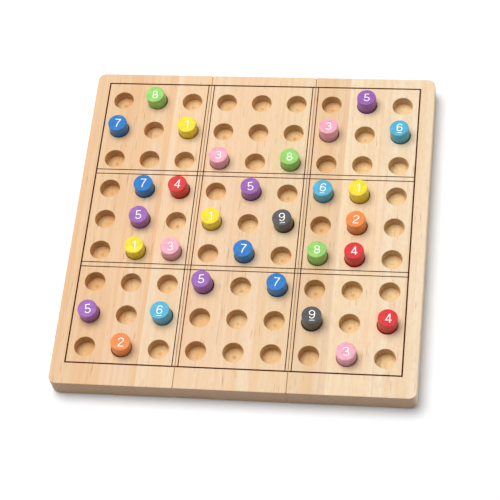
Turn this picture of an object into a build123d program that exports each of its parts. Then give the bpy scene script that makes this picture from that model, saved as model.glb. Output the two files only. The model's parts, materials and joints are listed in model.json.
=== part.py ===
from build123d import *
from math import atan, cos, hypot, sin
import os

# Wooden number-placement peg board: a nine by nine field of blind holes in nine glued
# staves, and thirty loose pegs standing in their starting places.
#
# Millimetres, +Z up.  The origin is at the middle of the board's footprint, on the surface
# it lies on; +X runs along the rows to the right and +Y towards the back row.

os.makedirs("parts", exist_ok=True)

# ---- board ----------------------------------------------------------------------------
thickness = 18.0
column_pitch = 30.0  # between hole centres along a row; also the width of an inner stave
row_pitch = 29.5  # between hole centres from row to row
left_border = 25.5  # first hole column to the board's left edge
right_border = 26.5  # last hole column to the board's right edge
back_border = 27.5  # first hole row to the board's back edge
front_border = 33.5  # last hole row to the board's front edge
cells = 9  # holes along each side of the field
block = 3  # holes along each side of a block, and staves in a panel

corner_radius = 6.5  # the board's four corners, seen from above
seam_corner_radius = 1.2  # panel corners where two panels meet
edge_round = 0.4  # eased edges round each panel's top and underside

# ---- holes and pegs -------------------------------------------------------------------
hole_radius = 8.35
hole_depth = 9.0
mouth_ease = 0.4  # bevel round the mouth of every hole
spur_mark_radius = 1.2  # conical mark that the drill's point leaves in the floor
spur_mark_depth = 0.8
peg_clearance = 0.45  # radial play of a peg in its hole
peg_stand = 10.5  # how far an upright peg stands out of the board
peg_edge_round = 0.8
lean_share = 0.75  # part of the play that a leaning peg takes up

# ---- engraved lines -------------------------------------------------------------------
engraving_depth = 0.3
frame_line_width = 1.0
block_line_width = 0.65
frame_back_gap = 17.5  # back line of the frame to the first hole row
frame_front_gap = 14.5  # front line of the frame to the last hole row
frame_left_gap = 14.0  # left line of the frame to the first hole column
frame_right_gap = 14.0  # right line of the frame to the last hole column
block_line_gap_x = 4.85  # between the two lines that run beside a panel seam
block_line_gap_y = 4.15  # between the two lines that run across the board

# Starting numbers, back row first.  A dot is an empty hole.
puzzle = [
    ".8.....5.",
    "7.1...3.6",
    "...3.8...",
    ".74.5.61.",
    ".5.1.9.2.",
    ".13.7.84.",
    "...5.7...",
    "5.6...9.4",
    ".2.....3.",
]

# Which way each peg leans in its loose hole, laid out like the keys of a number pad:
# 5 is upright, 8 leans to the back, 2 to the front, 4 to the left, 6 to the right.
leans = [
    ".4.....8.",
    "5.5...8.7",
    "...5.5...",
    ".54.5.57.",
    ".2.5.4.7.",
    ".55.5.88.",
    "...4.5...",
    "2.4...9.9",
    ".6.....5.",
]

board_width = left_border + (cells - 1) * column_pitch + right_border
board_depth = back_border + (cells - 1) * row_pitch + front_border
first_column = left_border - board_width / 2
first_row = board_depth / 2 - back_border
column_x = [first_column + i * column_pitch for i in range(cells)]
row_y = [first_row - i * row_pitch for i in range(cells)]

peg_radius = hole_radius - peg_clearance
peg_length = hole_depth + peg_stand
floor_z = thickness - hole_depth

frame_left = column_x[0] - frame_left_gap
frame_right = column_x[-1] + frame_right_gap
frame_back = row_y[0] + frame_back_gap
frame_front = row_y[-1] - frame_front_gap
frame_width = frame_right - frame_left
frame_depth = frame_back - frame_front
frame_x = (frame_left + frame_right) / 2
frame_y = (frame_back + frame_front) / 2


def engrave_lines():
    """Cut the frame and the double lines between blocks into the part being built.  The
    lines down the board follow the panel seams; those across it part the frame evenly."""
    block_ends = range(block, cells, block)
    seam_x = [(column_x[i - 1] + column_x[i]) / 2 for i in block_ends]
    cross_y = [frame_back - frame_depth * i / cells for i in block_ends]
    with BuildSketch(Plane.XY.offset(thickness - engraving_depth)) as lines:
        with Locations((frame_x, frame_y)):
            Rectangle(frame_width + frame_line_width, frame_depth + frame_line_width)
            Rectangle(
                frame_width - frame_line_width,
                frame_depth - frame_line_width,
                mode=Mode.SUBTRACT,
            )
        for x in seam_x:
            with Locations((x, frame_y)):
                with GridLocations(block_line_gap_x, 1, 2, 1):
                    Rectangle(block_line_width, frame_depth)
        for y in cross_y:
            with Locations((frame_x, y)):
                with GridLocations(1, block_line_gap_y, 1, 2):
                    Rectangle(frame_width, block_line_width)
    extrude(lines.sketch, amount=engraving_depth, mode=Mode.SUBTRACT)


def make_stave(name, column):
    """One stave, with the column of holes that it carries.  A side that another stave of
    the same panel is glued to stays square; every other edge is eased."""
    first = column == 0
    last = column == cells - 1
    free_left = column % block == 0
    free_right = column % block == block - 1
    left = column_x[column] - (left_border if first else column_pitch / 2)
    right = column_x[column] + (right_border if last else column_pitch / 2)

    with BuildPart() as stave:
        with BuildSketch():
            with Locations(((left + right) / 2, 0)):
                outline = Rectangle(right - left, board_depth)
            corners = outline.vertices().group_by(Axis.X)
            if free_left:
                fillet(corners[0], corner_radius if first else seam_corner_radius)
            if free_right:
                fillet(corners[-1], corner_radius if last else seam_corner_radius)
        extrude(amount=thickness)
        top_and_underside = (stave.faces() | Axis.Z).edges()
        glued = ShapeList()
        if not free_left:
            glued += stave.faces().sort_by(Axis.X)[0].edges()
        if not free_right:
            glued += stave.faces().sort_by(Axis.X)[-1].edges()
        fillet([edge for edge in top_and_underside if edge not in glued], edge_round)
        with Locations([(column_x[column], y, thickness) for y in row_y]):
            Hole(hole_radius, depth=hole_depth)
        with Locations([(column_x[column], y, floor_z) for y in row_y]):
            Cone(
                bottom_radius=0,
                top_radius=spur_mark_radius,
                height=spur_mark_depth,
                align=(Align.CENTER, Align.CENTER, Align.MAX),
                mode=Mode.SUBTRACT,
            )
        with Locations([(column_x[column], y, thickness) for y in row_y]):
            Cone(
                bottom_radius=hole_radius,
                top_radius=hole_radius + mouth_ease,
                height=mouth_ease,
                align=(Align.CENTER, Align.CENTER, Align.MAX),
                mode=Mode.SUBTRACT,
            )
        engrave_lines()
    stave.part.label = name
    export_step(stave.part, f"parts/{name}.step")


def make_peg(name, x, y, key):
    """One peg: a short round-edged cylinder that stands on the floor of its hole, leaning
    the way its number-pad key says until it has taken up its share of the play."""
    side = (key - 1) % 3 - 1
    back = (key - 1) // 3 - 1
    reach = lean_share * peg_clearance / max(1.0, hypot(side, back))
    slope_x = 2 * reach * side / hole_depth
    slope_y = 2 * reach * back / hole_depth
    lean = atan(hypot(slope_x, slope_y))
    lift = (peg_radius - peg_edge_round) * sin(lean) + peg_edge_round * (1 - cos(lean))
    foot = Plane(
        origin=(x - reach * side, y - reach * back, floor_z + lift),
        x_dir=(1, 0, -slope_x),
        z_dir=(slope_x, slope_y, 1),
    )
    with BuildPart() as peg:
        with BuildSketch(foot):
            Circle(peg_radius)
        extrude(amount=peg_length)
        fillet(peg.edges().filter_by(GeomType.CIRCLE), peg_edge_round)
    peg.part.label = name
    export_step(peg.part, f"parts/{name}.step")


panel_names = ["left", "middle", "right"]
for column in range(cells):
    make_stave(f"{panel_names[column // block]}_stave_{column % block + 1}", column)

for row in range(cells):
    for column in range(cells):
        number = puzzle[row][column]
        if number != ".":
            make_peg(
                f"peg_r{row + 1}c{column + 1}_number_{number}",
                column_x[column],
                row_y[row],
                int(leans[row][column]),
            )

print("board", board_width, board_depth, thickness)
print("peg", round(2 * peg_radius, 2), peg_length)
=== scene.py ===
import json
import math
import random

import bmesh
import bpy
from mathutils import Matrix, Vector
from mathutils.geometry import delaunay_2d_cdt


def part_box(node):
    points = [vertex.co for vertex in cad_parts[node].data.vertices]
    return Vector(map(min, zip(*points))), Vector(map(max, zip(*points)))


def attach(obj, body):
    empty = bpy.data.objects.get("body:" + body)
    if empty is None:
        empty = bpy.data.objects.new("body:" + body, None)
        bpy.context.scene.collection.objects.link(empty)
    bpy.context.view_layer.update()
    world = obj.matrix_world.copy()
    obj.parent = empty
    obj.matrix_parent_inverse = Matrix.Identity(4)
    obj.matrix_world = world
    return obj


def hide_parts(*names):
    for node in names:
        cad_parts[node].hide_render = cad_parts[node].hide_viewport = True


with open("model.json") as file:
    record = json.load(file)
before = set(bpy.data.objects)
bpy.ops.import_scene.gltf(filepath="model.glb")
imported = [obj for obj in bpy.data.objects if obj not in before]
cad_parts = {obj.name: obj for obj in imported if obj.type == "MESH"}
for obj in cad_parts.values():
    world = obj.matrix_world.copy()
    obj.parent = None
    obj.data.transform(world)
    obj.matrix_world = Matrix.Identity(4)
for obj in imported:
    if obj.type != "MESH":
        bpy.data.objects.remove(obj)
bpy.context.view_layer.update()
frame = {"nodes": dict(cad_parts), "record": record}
record = frame["record"]
MM = 0.001

# ---------------------------------------------------------------------------------------
# Where things are: the holes from the record's bores, the board from its CAD nodes
# ---------------------------------------------------------------------------------------
column_x, row_y = {}, {}
for mount in record["mounts"]:
    if mount["kind"] == "bore":
        row, column = mount["name"].removeprefix("hole_r").split("c")
        column_x[int(column)] = mount["pos_m"][0]
        row_y[int(row)] = mount["pos_m"][1]
        hole_radius = mount["dims"]["r_mm"] * MM
        hole_floor = mount["pos_m"][2] - mount["dims"]["length_mm"] * MM / 2
cells = len(column_x)
block = 3  # holes along a side of each block, and staves in a panel
row_pitch = (row_y[1] - row_y[cells]) / (cells - 1)
stave_nodes = [f"{side}_stave_{i}" for side in ("left", "middle", "right") for i in (1, 2, 3)]
board_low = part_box(stave_nodes[0])[0]
board_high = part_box(stave_nodes[-1])[1]
top = board_high.z


def axes(x, y, z):
    """The turn that takes X, Y and Z to these three directions."""
    return Matrix((x, y, z)).transposed().to_4x4()


# ---------------------------------------------------------------------------------------
# Camera: from the front and well above, a little to the right, with a long lens
# ---------------------------------------------------------------------------------------
aim = Vector((0.00378, -0.02231, top + 0.00007))
away = Vector((0.1457, -0.4797, 0.8652)).normalized()
distance = 1.4394
level = Vector((0.9888, 0.0995, -0.1113))  # the picture's horizontal
right = (level - away * level.dot(away)).normalized()
camera_data = bpy.data.cameras.new("camera")
camera_data.sensor_width = 36
camera_data.lens = 127.4
camera_data.clip_start = 0.05
camera_data.clip_end = 20
camera = bpy.data.objects.new("camera", camera_data)
facing = axes(right, away.cross(right), away)
camera.matrix_world = Matrix.Translation(aim + away * distance) @ facing
bpy.context.scene.collection.objects.link(camera)
bpy.context.scene.camera = camera


# ---------------------------------------------------------------------------------------
# Materials
# ---------------------------------------------------------------------------------------
def rgb(red, green, blue):
    """A colour given as 0 to 255 screen values, as linear light."""
    return tuple(
        c / 12.92 if c <= 0.04045 else ((c + 0.055) / 1.055) ** 2.4
        for c in (red / 255, green / 255, blue / 255)
    ) + (1.0,)


class Paint:
    """A material's node tree, built by short calls.  Inputs are sockets or constants."""

    def __init__(self, name):
        self.material = bpy.data.materials.new(name)
        self.material.use_nodes = True
        self.nodes = self.material.node_tree.nodes
        self.links = self.material.node_tree.links
        self.shader = self.nodes["Principled BSDF"]

    def plug(self, socket, value):
        if isinstance(value, bpy.types.NodeSocket):
            self.links.new(value, socket)
        elif value is not None:
            socket.default_value = value

    def node(self, kind, settings=None, **inputs):
        made = self.nodes.new(kind)
        for key, value in (settings or {}).items():
            setattr(made, key, value)
        for key, value in inputs.items():
            self.plug(made.inputs[key], value)
        return made

    def math(self, operation, a, b=None, c=None):
        made = self.nodes.new("ShaderNodeMath")
        made.operation = operation
        for socket, value in zip(made.inputs, (a, b, c)):
            self.plug(socket, value)
        return made.outputs[0]

    def vector(self, operation, a, b=None):
        made = self.nodes.new("ShaderNodeVectorMath")
        made.operation = operation
        self.plug(made.inputs[0], a)
        if operation == "SCALE":
            self.plug(made.inputs["Scale"], b)
        else:
            self.plug(made.inputs[1], b)
        return made.outputs["Value" if operation == "LENGTH" else "Vector"]

    def mix(self, share, a, b):
        """From colour a to colour b."""
        made = self.nodes.new("ShaderNodeMix")
        made.data_type = "RGBA"
        self.plug(made.inputs[0], share)
        self.plug(made.inputs[6], a)
        self.plug(made.inputs[7], b)
        return made.outputs[2]

    def span(self, value, low, high, to_low=0.0, to_high=1.0, smooth=True):
        """value taken from low..high to to_low..to_high, and held at the ends."""
        made = self.nodes.new("ShaderNodeMapRange")
        made.interpolation_type = "SMOOTHSTEP" if smooth else "LINEAR"
        for socket, v in zip(made.inputs, (value, low, high, to_low, to_high)):
            self.plug(socket, v)
        return made.outputs[0]

    def noise(self, where, scale, detail=2.0, roughness=0.5, distortion=0.0):
        made = self.node("ShaderNodeTexNoise", None, Vector=where, Scale=scale)
        made.inputs["Detail"].default_value = detail
        made.inputs["Roughness"].default_value = roughness
        made.inputs["Distortion"].default_value = distortion
        return made.outputs["Fac"]

    def parts(self, vector):
        """A vector's x, y and z."""
        return self.node("ShaderNodeSeparateXYZ", None, Vector=vector).outputs[:3]

    def set(self, **inputs):
        for key, value in inputs.items():
            self.plug(self.shader.inputs[key.replace("_", " ")], value)

    def bump(self, layers):
        """Stacks (height, depth in metres) layers of bump into the shader's normal."""
        normal = None
        for height, depth in layers:
            made = self.nodes.new("ShaderNodeBump")
            made.inputs["Distance"].default_value = depth
            self.plug(made.inputs["Height"], height)
            self.plug(made.inputs["Normal"], normal)
            normal = made.outputs["Normal"]
        self.plug(self.shader.inputs["Normal"], normal)


floor_marks = 6800.0  # radians a metre: rings 0.92 mm apart on a hole's floor
wall_marks = 5200.0  # and 1.2 mm apart down its wall


def pine(name, seed, tone, warm, x_middle, drilled=False):
    """Pale planed pine with its grain along Y.  The rings are those of a log whose heart
    lies below and beside the stave, so top, side and end grain agree.  drilled=True is the
    same wood inside a hole, with the drill's marks."""
    chance = random.Random(seed)
    p = Paint(name)
    place = p.node("ShaderNodeTexCoord").outputs["Object"]
    face = p.node("ShaderNodeTexCoord").outputs["Normal"]
    shift = tuple(chance.uniform(-3, 3) for _ in range(3))
    along = p.vector("ADD", p.vector("MULTIPLY", place, (1.0, 0.07, 1.0)), shift)

    # growth rings, a little wavy, round a heart that differs from stave to stave
    wave = p.node("ShaderNodeTexNoise", None, Vector=along, Scale=22.0).outputs["Color"]
    wave = p.vector("SCALE", p.vector("SUBTRACT", wave, (0.5, 0.5, 0.5)), 0.012)
    turn = chance.uniform(0.25, 1.1) * chance.choice((-1, 1))
    reach = chance.uniform(0.045, 0.085)
    heart = (x_middle + reach * math.sin(turn), 0.0, -reach * math.cos(turn))
    from_heart = p.vector("SUBTRACT", p.vector("ADD", place, wave), heart)
    from_heart = p.vector("MULTIPLY", from_heart, (1.0, 0.0, 1.0))
    rings = p.math("DIVIDE", p.vector("LENGTH", from_heart), chance.uniform(0.0034, 0.0052))
    part = p.math("FRACT", rings)
    late = p.math("MULTIPLY", p.span(part, 0.25, 0.9), p.span(part, 0.93, 1.0, 1.0, 0.0))
    patchy = p.noise(along, 34.0, 2.0)
    late = p.math("MULTIPLY", late, p.span(patchy, 0.35, 0.65, 0.25, 1.0))

    # broad soft bands, fine fibres and short dark resin ducts, all drawn out along Y
    bands = p.noise(p.vector("MULTIPLY", along, (1.0, 0.45, 1.0)), 52.0, 3.0, 0.5)
    cloud = p.noise(p.vector("MULTIPLY", place, (1.0, 0.4, 1.0)), 38.0, 3.0, 0.6)
    fibre_at = p.vector("MULTIPLY", along, (1.0, 0.28, 1.0))
    fibres = p.noise(fibre_at, 1300.0, 3.0, 0.6)
    streaks = p.noise(fibre_at, 420.0, 2.0, 0.5)
    duct_at = p.vector("MULTIPLY", along, (1.0, 0.9, 1.0))
    ducts = p.span(p.noise(duct_at, 900.0, 1.0, 0.4), 0.675, 0.775)
    mottle = p.noise(p.vector("MULTIPLY", place, (1.0, 0.5, 1.0)), 420.0, 3.0, 0.6)

    if drilled:  # bare wood, yellower than the planed face
        tone = (tone[0] * 1.01, tone[1] * 0.985, tone[2] * 0.87)
    light = rgb(*(c * t for c, t in zip((236, 214, 184), tone)))
    amber = rgb(*(c * t * w for c, t, w in zip((234, 199, 158), tone, warm)))
    ring_tone = rgb(*(c * t for c, t in zip((218, 172, 123), tone)))
    colour = p.mix(p.span(bands, 0.35, 0.68), light, amber)
    colour = p.mix(p.span(cloud, 0.42, 0.7, 0.0, 0.45), colour, amber)
    colour = p.mix(p.math("MULTIPLY", late, 0.26), colour, ring_tone)
    colour = p.mix(p.span(fibres, 0.3, 0.75, 0.0, 0.13), colour, rgb(188, 142, 98))
    colour = p.mix(p.span(streaks, 0.5, 0.8, 0.0, 0.18), colour, rgb(205, 158, 112))
    colour = p.mix(p.span(mottle, 0.4, 0.7, 0.0, 0.28), colour, rgb(224, 178, 138))
    colour = p.mix(p.math("MULTIPLY", ducts, 0.45), colour, rgb(158, 106, 66))

    # end grain, front and back, soaks up light: darker, greyer and full of pores
    ends = p.span(p.math("ABSOLUTE", p.parts(face)[1]), 0.35, 0.95)
    pores = p.noise(place, 1500.0, 2.0, 0.6)
    cut = p.mix(p.math("MULTIPLY", late, 0.4), rgb(163, 130, 99), rgb(140, 103, 72))
    cut = p.mix(p.span(pores, 0.52, 0.72, 0.0, 0.35), cut, rgb(122, 92, 66))
    colour = p.mix(p.math("MULTIPLY", ends, 0.85 if not drilled else 0.5), colour, cut)

    rough = p.span(fibres, 0.3, 0.7, 0.46, 0.6)
    layers = [(fibres, 0.00004), (late, 0.00004), (pores, 0.00002)]
    if drilled:
        x, y, z = p.parts(place)
        across = p.math("SUBTRACT", x, x_middle)
        down = p.math("WRAP", p.math("SUBTRACT", y, row_y[1]), row_pitch / 2, -row_pitch / 2)
        squares = (p.math("MULTIPLY", across, across), p.math("MULTIPLY", down, down))
        out = p.math("SQRT", p.math("ADD", *squares))  # distance from the hole's axis
        flat = p.span(p.parts(face)[2], 0.5, 0.9)
        turns = p.math("SINE", p.math("MULTIPLY", out, floor_marks))
        steps = p.math("SINE", p.math("MULTIPLY", z, wall_marks))
        marks = p.mix(flat, steps, turns)
        # a patch round the drill's point, rubbed brown more in some holes than in others
        spread = p.math("MULTIPLY", p.noise(place, 160.0, 2.0), 0.0024)
        burn = p.span(p.math("ADD", out, spread), 0.0012, 0.0036, 1.0, 0.0)
        some = p.span(p.noise(place, 37.0, 0.0), 0.4, 0.62, 0.1, 0.75)
        burn = p.math("MULTIPLY", p.math("MULTIPLY", burn, flat), some)
        colour = p.mix(burn, colour, rgb(190, 134, 78))
        torn = p.noise(p.vector("MULTIPLY", place, (1.0, 1.0, 2.5)), 700.0, 3.0, 0.65)
        colour = p.mix(p.span(torn, 0.45, 0.75, 0.0, 0.35), colour, rgb(200, 142, 90))
        rough = p.span(torn, 0.3, 0.7, 0.6, 0.78)
        layers = [(marks, 0.00002), (torn, 0.00016)]
    p.set(Base_Color=colour, Roughness=rough, Specular_IOR_Level=0.35)
    p.bump(layers)
    return p.material


def scorched(name):
    """The burnt wood at the bottom of an engraved line: dark brown, uneven, dull."""
    p = Paint(name)
    place = p.node("ShaderNodeTexCoord").outputs["Object"]
    char = p.noise(place, 900.0, 3.0, 0.6)
    patches = p.noise(place, 90.0, 2.0, 0.5)
    colour = p.mix(p.span(char, 0.3, 0.75), rgb(56, 20, 9), rgb(88, 38, 20))
    colour = p.mix(p.span(patches, 0.5, 0.72, 0.0, 0.4), colour, rgb(112, 58, 34))
    p.set(Base_Color=colour, Specular_IOR_Level=0.1)
    p.set(Roughness=p.span(char, 0.3, 0.7, 0.75, 0.95))
    p.bump([(char, 0.00008)])
    return p.material


def painted(name, colour, rubbed_and_highlight):
    """Satin lacquer on a turned peg: slight mottling, the wood's grain showing through,
    rubbed edges with a painted highlight on the top rim, and painted shade low on the side."""
    p = Paint(name)
    place = p.node("ShaderNodeTexCoord").outputs["Object"]
    mottle = p.noise(place, 260.0, 3.0, 0.55)
    grain = p.noise(p.vector("MULTIPLY", place, (1.0, 1.0, 0.08)), 1500.0, 2.0, 0.55)
    peel = p.noise(place, 2600.0, 2.0, 0.5)
    base = rgb(*colour)
    deep = rgb(*(c * 0.90 for c in colour))
    shade = p.mix(p.span(mottle, 0.3, 0.7), base, deep)
    shade = p.mix(p.span(grain, 0.5, 0.75, 0.0, 0.45), shade, deep)
    shade = p.mix(p.span(peel, 0.66, 0.8, 0.0, 0.25), shade, rgb(*rubbed_and_highlight))
    # partly painted highlight: the rounded top rim is lighter all round, in patches that also
    # stand for rubbed wear
    facing = p.parts(p.node("ShaderNodeTexCoord").outputs["Normal"])[2]
    edge = p.math("MULTIPLY", p.span(facing, 0.2, 0.6), p.span(facing, 0.85, 0.985, 1.0, 0.0))
    specks = p.span(p.noise(place, 950.0, 3.0, 0.6), 0.42, 0.62, 0.1, 0.6)
    shade = p.mix(p.math("MULTIPLY", edge, specks), shade, rgb(*rubbed_and_highlight))
    # painted shade: the side is darkened towards its foot, just above the board, standing in for
    # the shadow there
    low = p.span(p.parts(place)[2], top, top + 0.0075, 1.0, 0.0)
    foot_shade_mask = p.math("MULTIPLY", low, p.span(facing, 0.2, 0.6, 1.0, 0.0))
    foot_shade_patches = p.span(p.noise(place, 420.0, 3.0, 0.6), 0.35, 0.65, 0.3, 0.6)
    foot_shade_colour = rgb(*(c * 0.62 + d for c, d in zip(colour, (14, 4, 0))))
    shade = p.mix(p.math("MULTIPLY", foot_shade_mask, foot_shade_patches), shade, foot_shade_colour)
    p.set(Base_Color=shade, Roughness=p.span(mottle, 0.3, 0.7, 0.34, 0.46))
    p.set(Specular_IOR_Level=0.45, Coat_Weight=0.15, Coat_Roughness=0.3)
    p.bump([(grain, 0.0001), (peel, 0.00003)])
    return p.material


def ink(name):
    """White pad-printed ink, not quite even."""
    p = Paint(name)
    place = p.node("ShaderNodeTexCoord").outputs["Object"]
    spread = p.noise(place, 1800.0, 3.0, 0.6)
    colour = p.mix(p.span(spread, 0.3, 0.7), rgb(252, 252, 250), rgb(240, 239, 235))
    p.set(Base_Color=colour, Roughness=p.span(spread, 0.3, 0.7, 0.42, 0.55))
    p.bump([(spread, 0.00001)])
    return p.material


# numeral: (material, its colour, its lighter colour for rubbed spots and the painted highlight on
# the top rim)
paints = {
    "1": ("paint_yellow", (248, 222, 34), (252, 238, 120)),
    "2": ("paint_orange", (240, 136, 58), (248, 172, 110)),
    "3": ("paint_pink", (241, 170, 190), (250, 204, 216)),
    "4": ("paint_red", (222, 42, 46), (236, 96, 96)),
    "5": ("paint_purple", (154, 93, 179), (184, 134, 204)),
    "6": ("paint_light_blue", (74, 178, 212), (136, 208, 228)),
    "7": ("paint_blue", (8, 118, 196), (74, 158, 222)),
    "8": ("paint_green", (150, 213, 102), (188, 231, 148)),
    "9": ("paint_dark_grey", (86, 84, 85), (124, 121, 121)),
}
paint_material = {n: painted(slot, colour, rubbed_and_highlight) for n, (slot, colour, rubbed_and_highlight) in paints.items()}
ink_material = ink("numeral_print")
line_material = scorched("scorched_line")


# ---------------------------------------------------------------------------------------
# Mesh helpers
# ---------------------------------------------------------------------------------------
def new_object(name, mesh, *materials):
    made = bpy.data.objects.new(name, mesh)
    for m in materials:
        mesh.materials.append(m)
    bpy.context.scene.collection.objects.link(made)
    return made


def finished(bm, name):
    """A mesh of that name from bm, with its faces turned outwards."""
    bmesh.ops.recalc_face_normals(bm, faces=bm.faces)
    mesh = bpy.data.meshes.new(name)
    bm.to_mesh(mesh)
    bm.free()
    return mesh


def lathe(bm, profile, around, material=0, place=Matrix.Identity(4)):
    """Revolves (radius, height) points about Z, moved by place, into bm.  A radius of 0
    closes an end."""
    loops = []
    for radius, height in profile:
        if radius == 0:
            loops.append([bm.verts.new(place @ Vector((0, 0, height)))])
            continue
        loop = []
        for i in range(around):
            a = 2 * math.pi * i / around
            at = Vector((radius * math.cos(a), radius * math.sin(a), height))
            loop.append(bm.verts.new(place @ at))
        loops.append(loop)
    for a, b in zip(loops, loops[1:]):
        for i in range(around):
            j = (i + 1) % around
            if len(a) == 1:
                corners = (a[0], b[j], b[i])
            elif len(b) == 1:
                corners = (a[i], a[j], b[0])
            else:
                corners = (a[i], a[j], b[j], b[i])
            bm.faces.new(corners).material_index = material


def cut(target, cutter, solver):
    """Subtracts cutter from target, and removes cutter."""
    modifier = target.modifiers.new("cut", "BOOLEAN")
    modifier.operation = "DIFFERENCE"
    modifier.solver = solver
    modifier.use_self = True
    modifier.material_mode = "TRANSFER"
    modifier.object = cutter
    bpy.context.view_layer.update()
    depsgraph = bpy.context.evaluated_depsgraph_get()
    result = bpy.data.meshes.new_from_object(target.evaluated_get(depsgraph))
    target.modifiers.remove(modifier)
    old = target.data
    result.name = old.name
    target.data = result
    bpy.data.meshes.remove(old)
    bpy.data.objects.remove(cutter)


# ---------------------------------------------------------------------------------------
# Board: nine staves of end-matched pine, eased edges, drilled holes, burnt lines
# ---------------------------------------------------------------------------------------
corner_radius = 6.5 * MM
seam_radius = 1.2 * MM
outer_ease = 0.9 * MM
# an edge beside a seam, from wall to face: (inset, depth below the face) in millimetres
seam_steps = (
    (0, 1.5),
    (0.13, 1.3),
    (0.14, 0.9),
    (0.16, 0.5),
    (0.24, 0.2),
    (0.38, 0.05),
    (0.55, 0),
)
frame_gap = 14.0 * MM
frame_back = row_y[1] + 17.5 * MM
frame_front = row_y[cells] - 14.5 * MM
line_depth = 0.3 * MM
line_flare = 1.5  # a line's width at the surface, as a share of its mean width
line_floor = 0.55  # and at its floor
frame_line = 1.0 * MM
block_line = 0.65 * MM
seam_pair = 4.85 * MM
cross_pair = 4.15 * MM


def stave_outline(low, high, free_left, free_right, left_radius, right_radius):
    """(point, inward direction, share) round a stave seen from above.  The share is 1 on
    the board's outer edge, and 0 along a seam between two panels."""
    outline = []
    corners = (
        (low.x, low.y, 1, 1, free_left, left_radius, 180),
        (high.x, low.y, -1, 1, free_right, right_radius, 270),
        (high.x, high.y, -1, -1, free_right, right_radius, 0),
        (low.x, high.y, 1, -1, free_left, left_radius, 90),
    )
    for x, y, in_x, in_y, free, radius, start in corners:
        if not free:
            outline.append((Vector((x, y)), Vector((0, in_y)), 1.0))
            continue
        steps = 14 if radius == corner_radius else 6
        middle = Vector((x + in_x * radius, y + in_y * radius))
        for k in range(steps + 1):
            a = math.radians(start + 90 * k / steps)
            out = Vector((math.cos(a), math.sin(a)))
            share = 1.0 if radius == corner_radius else abs(out.y)
            outline.append((middle + out * radius, -out, share))
    return outline


def stave_block(name, outline, low, high):
    """A stave's body: the outline carried up through eased edges, top and underside."""
    bm = bmesh.new()
    steps = len(seam_steps) - 1
    levels = []
    for k, (inset, drop) in enumerate(seam_steps):
        a = math.pi / 2 * k / steps
        outer = (outer_ease * (1 - math.cos(a)), outer_ease * (1 - math.sin(a)))
        levels.append((*outer, inset * MM, drop * MM))
    rings = []
    for underside, course in ((True, reversed(levels)), (False, levels)):
        for outer_inset, outer_drop, inset, drop in course:
            ring = []
            for point, inward, share in outline:
                at = point + inward * (inset + (outer_inset - inset) * share)
                depth = drop + (outer_drop - drop) * share
                z = low.z + depth if underside else high.z - depth
                ring.append(bm.verts.new((at.x, at.y, z)))
            rings.append(ring)
    count = len(outline)
    for a, b in zip(rings, rings[1:]):
        for i in range(count):
            j = (i + 1) % count
            bm.faces.new((a[i], a[j], b[j], b[i]))
    bm.faces.new(list(reversed(rings[0])))
    bm.faces.new(rings[-1])
    return finished(bm, name)


def hole_cutter(x, materials):
    """One column of drilled holes: rounded mouth, wall, the rim that the drill scores, a
    flat floor and the mark of its point."""
    r = hole_radius
    profile = [
        (0, top + 0.0010),
        (r + 0.00062, top + 0.0010),
        (r + 0.00050, top + 0.00012),
        (r + 0.00030, top - 0.00006),
        (r + 0.00012, top - 0.00018),
        (r, top - 0.00042),
        (r, hole_floor + 0.0020),
        (r, hole_floor - 0.00015),
        (r - 0.00035, hole_floor - 0.00015),
        (r - 0.00055, hole_floor),
        (0.0030, hole_floor),
        (0.0012, hole_floor - 0.00002),
        (0.0003, hole_floor - 0.00034),
        (0, hole_floor - 0.00040),
    ]
    bm = bmesh.new()
    for y in row_y.values():
        lathe(bm, profile, 64, 2, Matrix.Translation((x, y, 0)))
    return new_object("hole_cutter", finished(bm, "hole_cutter"), *materials)


def groove(bm, start, end, width):
    """A straight trench from start to end, narrower at its floor, into bm."""
    run = (end - start).normalized()
    side = Vector((-run.y, run.x))
    corners = []
    for share, z in ((line_flare, top + 0.0001), (line_floor, top - line_depth)):
        for point, sign in ((start, -1), (end, 1)):
            for s in (-1, 1):
                at = point + side * (s * width / 2 * share) + run * (sign * width / 2 * share)
                corners.append(bm.verts.new((at.x, at.y, z)))
    a, b, c, d, e, f, g, h = corners
    ends = ((a, b, d, c), (e, g, h, f))
    sides = ((a, c, g, e), (b, f, h, d), (a, e, f, b), (c, d, h, g))
    for face in ends + sides:
        bm.faces.new(face).material_index = 1


def line_cutter(low, high, materials):
    """The engraved lines that cross a stave.  They run a little past its sides."""
    frame_left = column_x[1] - frame_gap
    frame_right = column_x[cells] + frame_gap
    bm = bmesh.new()
    first = max(frame_left, low.x - 0.002)
    last = min(frame_right, high.x + 0.002)
    for y, width in ((frame_back, frame_line), (frame_front, frame_line)):
        groove(bm, Vector((first, y)), Vector((last, y)), width)
    for third in (1, 2):
        y = frame_back - (frame_back - frame_front) * third / 3
        for side in (-1, 1):
            at = y + side * cross_pair / 2
            groove(bm, Vector((first, at)), Vector((last, at)), block_line)
    upright = [(frame_left, frame_line), (frame_right, frame_line)]
    for i in range(block, cells, block):
        seam = (column_x[i] + column_x[i + 1]) / 2
        upright += [(seam - seam_pair / 2, block_line), (seam + seam_pair / 2, block_line)]
    for x, width in upright:
        if low.x < x < high.x:
            groove(bm, Vector((x, frame_back)), Vector((x, frame_front)), width)
    return new_object("line_cutter", finished(bm, "line_cutter"), *materials)


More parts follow.
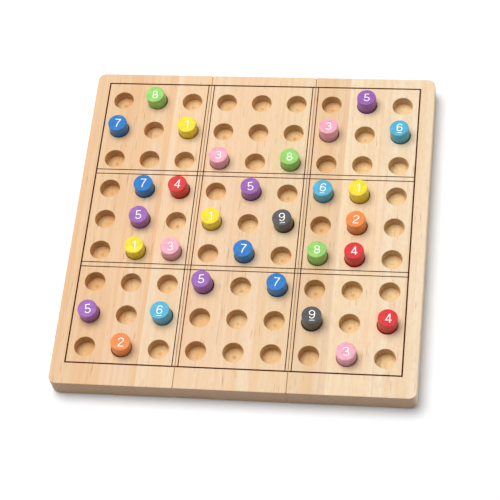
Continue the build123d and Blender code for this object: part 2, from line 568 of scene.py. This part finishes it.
# each stave's tone, and the warmth of its darker bands, left to right
tones = [
    ((0.945, 0.905, 0.860), (1.00, 0.97, 0.94)),
    ((0.962, 0.945, 0.943), (1.00, 0.98, 0.95)),
    ((0.976, 0.977, 0.977), (1.00, 1.00, 1.00)),
    ((0.972, 0.952, 0.942), (1.00, 1.00, 1.00)),
    ((0.977, 0.990, 1.000), (1.00, 1.00, 1.02)),
    ((0.970, 0.973, 0.952), (1.00, 1.00, 1.02)),
    ((0.951, 0.948, 0.948), (1.00, 1.00, 0.99)),
    ((0.990, 1.010, 1.005), (1.00, 1.01, 1.04)),
    ((0.990, 1.015, 1.030), (1.00, 1.02, 1.06)),
]
for index, node in enumerate(stave_nodes):
    low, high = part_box(node)
    free_left = index % block == 0
    free_right = index % block == block - 1
    outline = stave_outline(
        low,
        high,
        free_left,
        free_right,
        corner_radius if index == 0 else seam_radius,
        corner_radius if index == cells - 1 else seam_radius,
    )
    tone, warm = tones[index]
    x_middle = column_x[index + 1]
    materials = (
        pine(f"{node}_planed", 100 + index, tone, warm, x_middle),
        line_material,
        pine(f"{node}_drilled", 100 + index, tone, warm, x_middle, drilled=True),
    )
    stave = new_object(f"{node}_pine", stave_block(f"{node}_pine", outline, low, high), *materials)
    cut(stave, line_cutter(low, high, materials), "EXACT")
    cut(stave, hole_cutter(x_middle, materials), "MANIFOLD")
    stave.data.shade_smooth()
    stave.data.set_sharp_from_angle(angle=math.radians(28))
    weighted = stave.modifiers.new("even_normals", "WEIGHTED_NORMAL")
    weighted.keep_sharp = True
    weighted.weight = 100
    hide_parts(node)
    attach(stave, "board")


# ---------------------------------------------------------------------------------------
# Numerals: a plain sans-serif set drawn with one pen width, in a box one unit tall
# ---------------------------------------------------------------------------------------
pen = 0.092
bar_pen = 0.068
film = 0.006  # thickness of the ink


def bend(cx, cy, rx, ry, start, end):
    """Points on part of an ellipse, angles in degrees."""
    steps = max(4, round(abs(end - start) / 9))
    angles = (math.radians(start + (end - start) * k / steps) for k in range(steps + 1))
    return [(cx + rx * math.cos(a), cy + ry * math.sin(a)) for a in angles]


def turned(strokes, width):
    """The strokes turned half round in a box of that width."""
    return [[(width - x, 1 - y) for x, y in s] for s in strokes]


high_line = 1 - pen / 2
low_line = pen / 2
six = [
    bend(0.31, 0.31, 0.243, 0.2475, 0, 360),
    bend(0.325, 0.69, 0.215, 0.2475, 14, 84)
    + bend(0.325, 0.50, 0.258, 0.4375, 90, 180)
    + [(0.067, 0.30)],
]
strokes_of = {
    "1": [[(0.36, 0), (0.36, 1)], [(0.13, 0.79), (0.22, 0.80), (0.30, 0.85), (0.345, 0.94)]],
    "2": [
        bend(0.305, 0.69, 0.235, 0.2475, 172, -18)
        + [(0.44, 0.515), (0.31, 0.405), (0.18, 0.295), (0.105, 0.19), (0.085, low_line)],
        [(0.02, low_line), (0.57, low_line)],
    ],
    "3": [
        bend(0.295, 0.72, 0.215, 0.2175, 168, -82),
        bend(0.295, 0.2825, 0.242, 0.22, 84, -168),
        [(0.225, 0.505), (0.33, 0.505)],
    ],
    "4": [[(0.45, 0), (0.45, 1)], [(0.43, 0.96), (0.075, 0.295)], [(0.01, 0.275), (0.62, 0.275)]],
    "5": [
        [(0.10, high_line), (0.54, high_line)],
        [(0.155, 0.96), (0.105, 0.47)],
        [(0.07, 0.485)] + bend(0.29, 0.3125, 0.25, 0.25, 124, -168),
    ],
    "6": six,
    "7": [
        [(0.02, high_line), (0.58, high_line)],
        [(0.53, 0.91), (0.42, 0.70), (0.33, 0.49), (0.27, 0.25), (0.24, 0)],
    ],
    "8": [bend(0.30, 0.72, 0.205, 0.2175, 0, 360), bend(0.30, 0.2825, 0.242, 0.22, 0, 360)],
    "9": turned(six, 0.62),
}
bar = [(0.06, -0.17), (0.56, -0.17)]


def ribbon(points, width):
    """Quads of a pen stroke of that width along points."""
    closed = math.dist(points[0], points[-1]) < 1e-6
    count = len(points)
    rails = []
    for i, (x, y) in enumerate(points):
        before = points[i - 1] if i else points[-2] if closed else points[0]
        after = points[i + 1] if i + 1 < count else points[1] if closed else points[-1]
        run = Vector((after[0] - before[0], after[1] - before[1])).normalized()
        side = Vector((-run.y, run.x)) * (width / 2)
        rails.append(((x + side.x, y + side.y), (x - side.x, y - side.y)))
    return [(a[0], a[1], b[1], b[0]) for a, b in zip(rails, rails[1:])]


def numeral_mesh(number):
    """The numeral as a thin printed film, one unit tall, centred on the origin."""
    quads = []
    for stroke in strokes_of[number]:
        quads += ribbon(stroke, pen)
    if number in "69":
        quads += ribbon(bar, bar_pen)
    points, faces = [], []
    for quad in quads:
        faces.append(list(range(len(points), len(points) + 4)))
        points += [Vector(q) for q in quad]
    # one flat mesh of the whole figure: triangles that no stroke covers are left out
    flat, _, triangles, _, _, strokes_under = delaunay_2d_cdt(points, [], faces, 0, 1e-5)
    triangles = [t for t, under in zip(triangles, strokes_under) if under]
    xs = [v.x for v in flat]
    middle = (min(xs) + max(xs)) / 2
    bm = bmesh.new()
    made = [bm.verts.new((v.x - middle, v.y - 0.5, 0)) for v in flat]
    for t in triangles:
        bm.faces.new([made[i] for i in t])
    bmesh.ops.recalc_face_normals(bm, faces=bm.faces)
    lifted = bmesh.ops.extrude_face_region(bm, geom=list(bm.faces))
    for item in lifted["geom"]:
        if isinstance(item, bmesh.types.BMVert):
            item.co.z += film
    mesh = finished(bm, f"numeral_{number}")
    mesh.materials.append(ink_material)
    return mesh


numerals = {n: numeral_mesh(n) for n in strokes_of}

# ---------------------------------------------------------------------------------------
# Pegs: turned, lacquered, each with its printed numeral
# ---------------------------------------------------------------------------------------
numeral_height = 8.0 * MM
numeral_width = 1.06  # stretch sideways
bar_room = 0.6 * MM  # how much higher a numeral with a bar stands
peg_edge = 0.8 * MM
# how far each numeral is turned, degrees anticlockwise
numeral_turn = {
    "r1c2": 6, "r1c8": 4, "r2c1": -2, "r2c3": 2, "r2c7": 2, "r2c9": 2, "r3c4": 2, "r3c6": 6,
    "r4c2": 0, "r4c3": -4, "r4c5": 10, "r4c7": -4, "r4c8": 0, "r5c2": 6, "r5c4": 4, "r5c6": 8,
    "r5c8": -4, "r6c2": 4, "r6c3": 6, "r6c5": -4, "r6c7": 4, "r6c8": 4, "r7c4": 4, "r7c6": -6,
    "r8c1": 10, "r8c3": 0, "r8c7": 4, "r8c9": 2, "r9c2": 4, "r9c8": 6,
}


def peg_profile(radius, length):
    """A dowel with rounded edges and a barely crowned top."""
    profile = [(0, 0.00004), (radius * 0.5, 0.00002), (radius - peg_edge, 0)]
    for k in range(1, 9):
        a = math.pi / 2 * k / 8
        profile.append((radius - peg_edge * (1 - math.sin(a)), peg_edge * (1 - math.cos(a))))
    for k in range(1, 6):
        profile.append((radius, peg_edge + (length - 2 * peg_edge) * k / 6))
    for k in range(9):
        a = math.pi / 2 * k / 8
        inset = peg_edge * (1 - math.cos(a))
        profile.append((radius - inset, length - peg_edge * (1 - math.sin(a))))
    profile += [(radius * 0.75, length - 0.00001), (radius * 0.4, length), (0, length)]
    return profile


def peg_axis(node):
    """(foot, direction, length, radius) of a CAD peg, read from its own vertices.  The
    length is a hair less, so that the finer mesh stays inside the CAD's box."""
    points = {tuple(round(c, 7) for c in v.co) for v in frame["nodes"][node].data.vertices}
    points = [Vector(p) for p in points]
    middle_z = (min(p.z for p in points) + max(p.z for p in points)) / 2
    halves = [[p for p in points if (p.z > middle_z) == upper] for upper in (False, True)]
    foot, head = (sum(h, Vector()) / len(h) for h in halves)
    axis = (head - foot).normalized()
    heights = [(p - foot).dot(axis) for p in points]
    radius = max(((p - foot) - axis * (p - foot).dot(axis)).length for p in points)
    return foot + axis * min(heights), axis, max(heights) - min(heights) - 0.02 * MM, radius


body_of_node = {n: b for b, ns in record["behaviour"]["bodies"].items() for n in ns}
for node in sorted(n for n in frame["nodes"] if n.startswith("peg_")):
    place, number = node.removeprefix("peg_").split("_number_")
    chance = random.Random(place)
    foot, axis, length, radius = peg_axis(node)
    sideways = Vector((1, 0, 0))
    across = (sideways - axis * sideways.dot(axis)).normalized()
    stand = Matrix.Translation(foot) @ axes(across, axis.cross(across), axis)
    bm = bmesh.new()
    lathe(bm, peg_profile(radius, length), 72)
    mesh = finished(bm, f"{place}_peg")
    peg = new_object(f"peg_{place}_lacquered", mesh, paint_material[number])
    mesh.transform(stand @ Matrix.Rotation(chance.uniform(0, 2 * math.pi), 4, "Z"))
    mesh.shade_smooth()
    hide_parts(node)
    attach(peg, body_of_node[node])

    centre = Vector((chance.uniform(0.15, 0.5) * MM, chance.uniform(-0.5, -0.1) * MM, length))
    centre.z += 0.01 * MM
    if number in "69":
        centre.y += bar_room
    printed = bpy.data.objects.new(f"peg_{place}_numeral_{number}", numerals[number])
    bpy.context.scene.collection.objects.link(printed)
    printed.matrix_world = (
        stand
        @ Matrix.Translation(centre)
        @ Matrix.Rotation(math.radians(numeral_turn[place]), 4, "Z")
        @ Matrix.Diagonal((numeral_height * numeral_width, numeral_height, numeral_height, 1))
    )
    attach(printed, body_of_node[node])

# ---------------------------------------------------------------------------------------
# Stage: white floor, one large soft light from behind and the left, even sky
# ---------------------------------------------------------------------------------------
reach = 4.0
corners = [(-reach, -reach, 0), (reach, -reach, 0), (reach, reach, 0), (-reach, reach, 0)]
floor_mesh = bpy.data.meshes.new("floor")
floor_mesh.from_pydata(corners, [], [(0, 1, 2, 3)])
paper = Paint("paper")
paper.set(Base_Color=(0.93, 0.94, 0.955, 1), Roughness=0.9, Specular_IOR_Level=0.1)
floor = new_object("floor", floor_mesh, paper.material)
floor.location.z = board_low.z - 0.0001


def area_light(name, position, size, watts, colour=(1, 1, 1)):
    data = bpy.data.lights.new(name, "AREA")
    data.shape = "DISK"
    data.size = size
    data.energy = watts
    data.color = colour
    made = bpy.data.objects.new(name, data)
    made.location = position
    made.rotation_euler = (-Vector(position)).to_track_quat("-Z", "Y").to_euler()
    bpy.context.scene.collection.objects.link(made)
    return made


# one lamp, in two parts so that its gloss on the lacquer is weaker than its light
lamp_at = (-0.66, 0.60, 2.6)
lamp_size = 2.3
key = area_light("key", lamp_at, lamp_size, 79, (1.0, 0.99, 0.98))
key.visible_glossy = False
sheen = area_light("sheen", lamp_at, lamp_size, 32)
sheen.visible_diffuse = False
world = bpy.data.worlds.new("studio")
world.use_nodes = True
sky = world.node_tree.nodes["Background"]
sky.inputs["Color"].default_value = (0.96, 0.98, 1, 1)
sky.inputs["Strength"].default_value = 0.37
bpy.context.scene.world = world
bpy.context.scene.view_settings.view_transform = "Standard"
